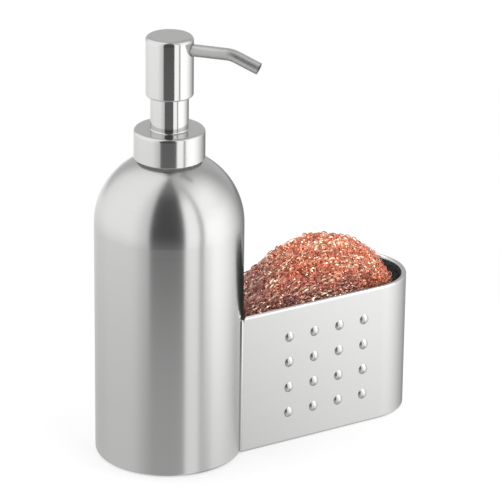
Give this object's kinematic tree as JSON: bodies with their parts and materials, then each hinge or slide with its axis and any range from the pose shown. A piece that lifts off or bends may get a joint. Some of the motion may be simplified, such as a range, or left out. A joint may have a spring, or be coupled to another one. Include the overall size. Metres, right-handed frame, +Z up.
{
  "type": "soap pump caddy",
  "caption": "Free-standing steel soap pump bottle with a dimpled caddy welded to its side, holding a knitted copper scouring pad.",
  "frame": {"origin": "centre of the bottle's foot, on the surface that the object stands on", "axes": "+Z up along the pump's axis, +X from the bottle to the round end of the caddy, -Y out of the dimpled wall"},
  "size_m": [0.1579, 0.0674, 0.1984],
  "materials": {
    "satin_steel": "satin brushed",
    "polished_steel": "polished",
    "spout_steel": "drawn tube, satin",
    "spring_steel": "bright drawn wire",
    "white_plastic": "moulded",
    "clear_plastic": "milky, moulded",
    "gasket_rubber": "matt",
    "copper_strand": "knitted flat copper strand"
  },
  "bodies": {
    "bottle": {"bottle_shell": "satin_steel", "bottle_base": "satin_steel", "neck_ring": "white_plastic", "caddy_wall": "satin_steel", "caddy_floor": "satin_steel"},
    "pump_body": {"pump_housing": "clear_plastic", "neck_gasket": "gasket_rubber", "lock_ring": "white_plastic", "ball_cage": "white_plastic", "dip_tube": "clear_plastic", "return_spring": "spring_steel"},
    "closure": {"closure_shell": "polished_steel", "closure_ring": "white_plastic", "sleeve": "polished_steel"},
    "plunger": {"piston": "white_plastic"},
    "head": {"head_shell": "polished_steel", "head_core": "white_plastic", "spout": "spout_steel", "stem": "white_plastic"},
    "inlet_valve_ball": {"inlet_ball": "spring_steel"},
    "outlet_valve_ball": {"outlet_ball": "spring_steel"},
    "pad": {"scouring_pad": "copper_strand"}
  },
  "joints": [
    {"name": "pump_rise", "type": "slide", "parent": "bottle", "child": "pump_body", "axis": [0, 0, 1], "range_m": [0, 0.00421]},
    {"name": "closure_turn", "type": "hinge", "parent": "pump_body", "child": "closure", "pos_m": [0, 0, 0.148], "axis": [0, 0, 1], "range_deg": [0, 360]},
    {"name": "press", "type": "slide", "parent": "pump_body", "child": "plunger", "axis": [0, 0, -1], "range_m": [0, 0.013], "stiffness_N_per_m": 180, "springref_m": -0.012, "deforming": ["return_spring"]},
    {"name": "spout_swivel", "type": "hinge", "parent": "plunger", "child": "head", "pos_m": [0, 0, 0.185], "axis": [0, 0, 1], "continuous": true},
    {"name": "inlet_valve", "type": "slide", "parent": "pump_body", "child": "inlet_valve_ball", "axis": [0, 0, 1], "range_m": [0, 0.0012]},
    {"name": "outlet_valve", "type": "slide", "parent": "head", "child": "outlet_valve_ball", "axis": [0, 0, 1], "range_m": [0, 0.001]},
    {"name": "pad_lift", "type": "slide", "parent": "bottle", "child": "pad", "axis": [0, 0, 1], "range_m": [0, 0.07]}
  ],
  "couplings": [
    {"joint": "pump_rise", "follows": "closure_turn", "m_per_rad": 0.00066845}
  ]
}
